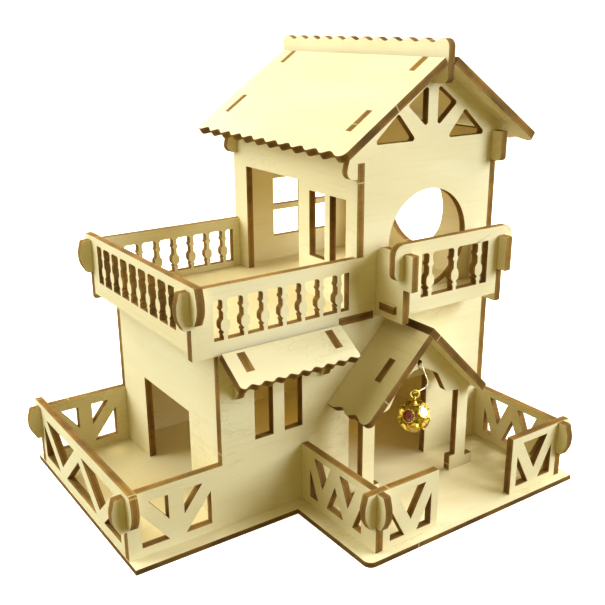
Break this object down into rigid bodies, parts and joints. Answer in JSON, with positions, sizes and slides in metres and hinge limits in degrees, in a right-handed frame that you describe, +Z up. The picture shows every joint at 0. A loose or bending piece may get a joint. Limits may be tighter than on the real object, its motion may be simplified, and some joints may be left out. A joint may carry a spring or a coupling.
{
  "type": "wooden hamster house",
  "caption": "Small two-storey pet house pressed together from slotted plywood boards, with porch, terrace, balconies, gabled roof and a hanging bauble.",
  "frame": {"origin": "under the middle of the whole, on the underside of the base board", "axes": "+X to the right along the facade, +Y from the facade to the back wall, +Z up"},
  "size_m": [0.183, 0.1456, 0.1684],
  "materials": {
    "plywood": "pale raw plywood, burnt dark brown on its cut edges",
    "gold_wire": "polished gold colour",
    "cut_stones": "faceted, clear and dark red"
  },
  "bodies": {
    "house": {"base_plate": "plywood", "front_facade": "plywood", "back_wall": "plywood", "right_wall": "plywood", "lower_left_wall": "plywood", "upper_left_wall": "plywood", "upper_floor": "plywood", "balcony_side_rail": "plywood", "terrace_side_fence": "plywood", "porch_left_fence": "plywood", "porch_front_fence_left": "plywood", "porch_front_fence_right": "plywood", "porch_front": "plywood", "porch_roof_left": "plywood", "porch_roof_right": "plywood", "awning": "plywood", "awning_bracket_left": "plywood", "awning_bracket_right": "plywood", "main_roof_left": "plywood", "main_roof_right": "plywood", "ridge_board": "plywood", "small_balcony_floor": "plywood", "small_balcony_front": "plywood", "small_balcony_left_side": "plywood", "small_balcony_right_side": "plywood"},
    "hook": {"ornament_hook": "gold_wire"},
    "bauble": {"ornament_ring": "gold_wire", "ornament_ball": "gold_wire", "ornament_stones": "cut_stones"}
  },
  "joints": [
    {"name": "hook_swing", "type": "hinge", "parent": "house", "child": "hook", "pos_m": [0.02588, -0.0393, 0.0527], "axis": [0, 1, 0], "range_deg": [-28, 15]},
    {"name": "bauble_swing", "type": "hinge", "parent": "hook", "child": "bauble", "pos_m": [0.02318, -0.0418, 0.0421], "axis": [1, 0, 0], "range_deg": [-45, 30]}
  ]
}
